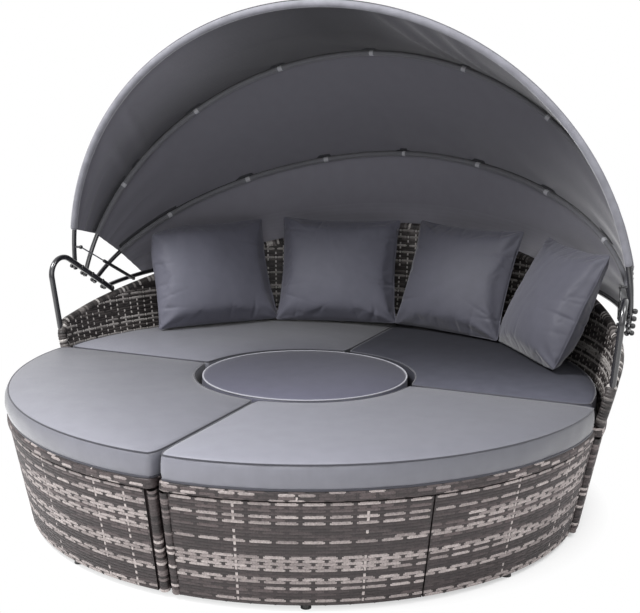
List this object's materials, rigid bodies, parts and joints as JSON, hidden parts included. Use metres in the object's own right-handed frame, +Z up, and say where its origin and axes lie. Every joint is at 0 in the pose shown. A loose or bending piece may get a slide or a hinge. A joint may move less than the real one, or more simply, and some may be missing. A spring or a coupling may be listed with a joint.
{
  "type": "outdoor daybed with canopy",
  "caption": "Round woven outdoor daybed: curved sofa with raised back, wedge ottomans, centre table, loose cushions, throw pillows and a folding fabric canopy on steel bows.",
  "frame": {"origin": "middle of the footprint's box on the floor", "axes": "+Z up; the open front and the ottomans face -Y, the backrest +Y"},
  "size_m": [1.9462, 1.9612, 1.542],
  "materials": {
    "frame_steel": "matt black powder coat",
    "woven_resin": "flat woven resin strand in mixed grey-browns",
    "woven_resin_dark": "flat woven resin strand in darker grey-browns",
    "seat_cloth": "plain woven slate-grey polyester",
    "pillow_cloth": "plain woven slate-grey polyester",
    "canopy_steel": "gloss black powder coat",
    "canopy_cloth": "coated slate-grey polyester",
    "black_plastic": "moulded black plastic",
    "bright_steel": "ground piston rod"
  },
  "bodies": {
    "rear_sofa": {"rear_frame": "frame_steel", "rear_inner_wall": "woven_resin", "rear_skirt_right": "woven_resin", "rear_skirt_left": "woven_resin", "rear_rail": "woven_resin", "rear_deck": "frame_steel", "backrest_wall": "woven_resin_dark", "backrest_border": "woven_resin_dark", "rear_cushion_right": "seat_cloth", "rear_cushion_left": "seat_cloth", "throw_pillow_left": "pillow_cloth", "throw_pillow_centre_left": "pillow_cloth", "throw_pillow_centre_right": "pillow_cloth", "throw_pillow_right": "pillow_cloth", "bow_rear": "canopy_steel", "support_tube_left": "canopy_steel", "support_tube_right": "canopy_steel", "pivot_bolt_left_1": "black_plastic", "pivot_bolt_left_2": "black_plastic", "pivot_bolt_left_3": "black_plastic", "pivot_bolt_left_4": "black_plastic", "pivot_bolt_right_1": "black_plastic", "pivot_bolt_right_2": "black_plastic", "pivot_bolt_right_3": "black_plastic", "pivot_bolt_right_4": "black_plastic"},
    "front_left_ottoman": {"front_left_frame": "frame_steel", "front_left_inner_wall": "woven_resin", "front_left_skirt_panel_a": "woven_resin", "front_left_skirt_panel_b": "woven_resin", "front_left_rail": "woven_resin", "front_left_deck": "frame_steel", "front_left_cushion": "seat_cloth"},
    "front_right_ottoman": {"front_right_frame": "frame_steel", "front_right_inner_wall": "woven_resin", "front_right_skirt_panel_a": "woven_resin", "front_right_skirt_panel_b": "woven_resin", "front_right_rail": "woven_resin", "front_right_deck": "frame_steel", "front_right_cushion": "seat_cloth"},
    "centre_table": {"table_frame": "frame_steel", "table_skirt": "woven_resin", "table_rail": "woven_resin", "table_deck": "frame_steel", "table_cushion": "seat_cloth"},
    "canopy_front_bow": {"bow_front": "canopy_steel", "canopy_front_panel": "canopy_cloth"},
    "canopy_second_bow": {"bow_second": "canopy_steel", "canopy_middle_panel": "canopy_cloth"},
    "canopy_third_bow": {"bow_third": "canopy_steel", "canopy_rear_panel": "canopy_cloth"},
    "left_strut_cylinder": {"strut_cylinder_left": "black_plastic"},
    "left_strut_rod": {"strut_rod_left": "bright_steel"},
    "right_strut_cylinder": {"strut_cylinder_right": "black_plastic"},
    "right_strut_rod": {"strut_rod_right": "bright_steel"}
  },
  "joints": [
    {"name": "canopy_fold", "type": "hinge", "parent": "rear_sofa", "child": "canopy_front_bow", "pos_m": [0, 0.0835, 0.65167], "axis": [-1, 0, 0], "range_deg": [0, 86.5], "deforming": ["canopy_front_panel"]},
    {"name": "second_bow_turn", "type": "hinge", "parent": "rear_sofa", "child": "canopy_second_bow", "pos_m": [0, 0.13074, 0.62057], "axis": [-1, 0, 0], "range_deg": [0, 57.5], "deforming": ["canopy_middle_panel"]},
    {"name": "third_bow_turn", "type": "hinge", "parent": "rear_sofa", "child": "canopy_third_bow", "pos_m": [0, 0.17797, 0.58947], "axis": [-1, 0, 0], "range_deg": [0, 26.7], "deforming": ["canopy_rear_panel"]},
    {"name": "left_strut_swing", "type": "hinge", "parent": "rear_sofa", "child": "left_strut_cylinder", "pos_m": [-0.8815, 0.34418, 0.57403], "axis": [0.7269, -0.4152, -0.547], "range_deg": [0, 5.09]},
    {"name": "left_strut_stroke", "type": "slide", "parent": "left_strut_cylinder", "child": "left_strut_rod", "axis": [-0.137, -0.8682, 0.4769], "range_m": [-0.09315, 0]},
    {"name": "right_strut_swing", "type": "hinge", "parent": "rear_sofa", "child": "right_strut_cylinder", "pos_m": [0.8815, 0.34418, 0.57403], "axis": [0.7269, 0.4152, 0.547], "range_deg": [0, 5.09]},
    {"name": "right_strut_stroke", "type": "slide", "parent": "right_strut_cylinder", "child": "right_strut_rod", "axis": [0.137, -0.8682, 0.4769], "range_m": [-0.09315, 0]},
    {"name": "front_left_slide_out", "type": "slide", "parent": "rear_sofa", "child": "front_left_ottoman", "axis": [-0.7071, -0.7071, 0], "range_m": [0, 0.5]},
    {"name": "front_right_slide_out", "type": "slide", "parent": "rear_sofa", "child": "front_right_ottoman", "axis": [0.7071, -0.7071, 0], "range_m": [0, 0.5]},
    {"name": "table_lift_out", "type": "slide", "parent": "rear_sofa", "child": "centre_table", "axis": [0, 0, 1], "range_m": [0, 0.45]}
  ],
  "couplings": [
    {"joint": "second_bow_turn", "follows": "canopy_fold", "ratio": 0.66474},
    {"joint": "third_bow_turn", "follows": "canopy_fold", "ratio": 0.30867},
    {"joint": "left_strut_swing", "follows": "canopy_fold", "ratio": 0.058863},
    {"joint": "left_strut_stroke", "follows": "canopy_fold", "m_per_rad": -0.061699},
    {"joint": "right_strut_swing", "follows": "canopy_fold", "ratio": 0.058863},
    {"joint": "right_strut_stroke", "follows": "canopy_fold", "m_per_rad": -0.061699}
  ]
}
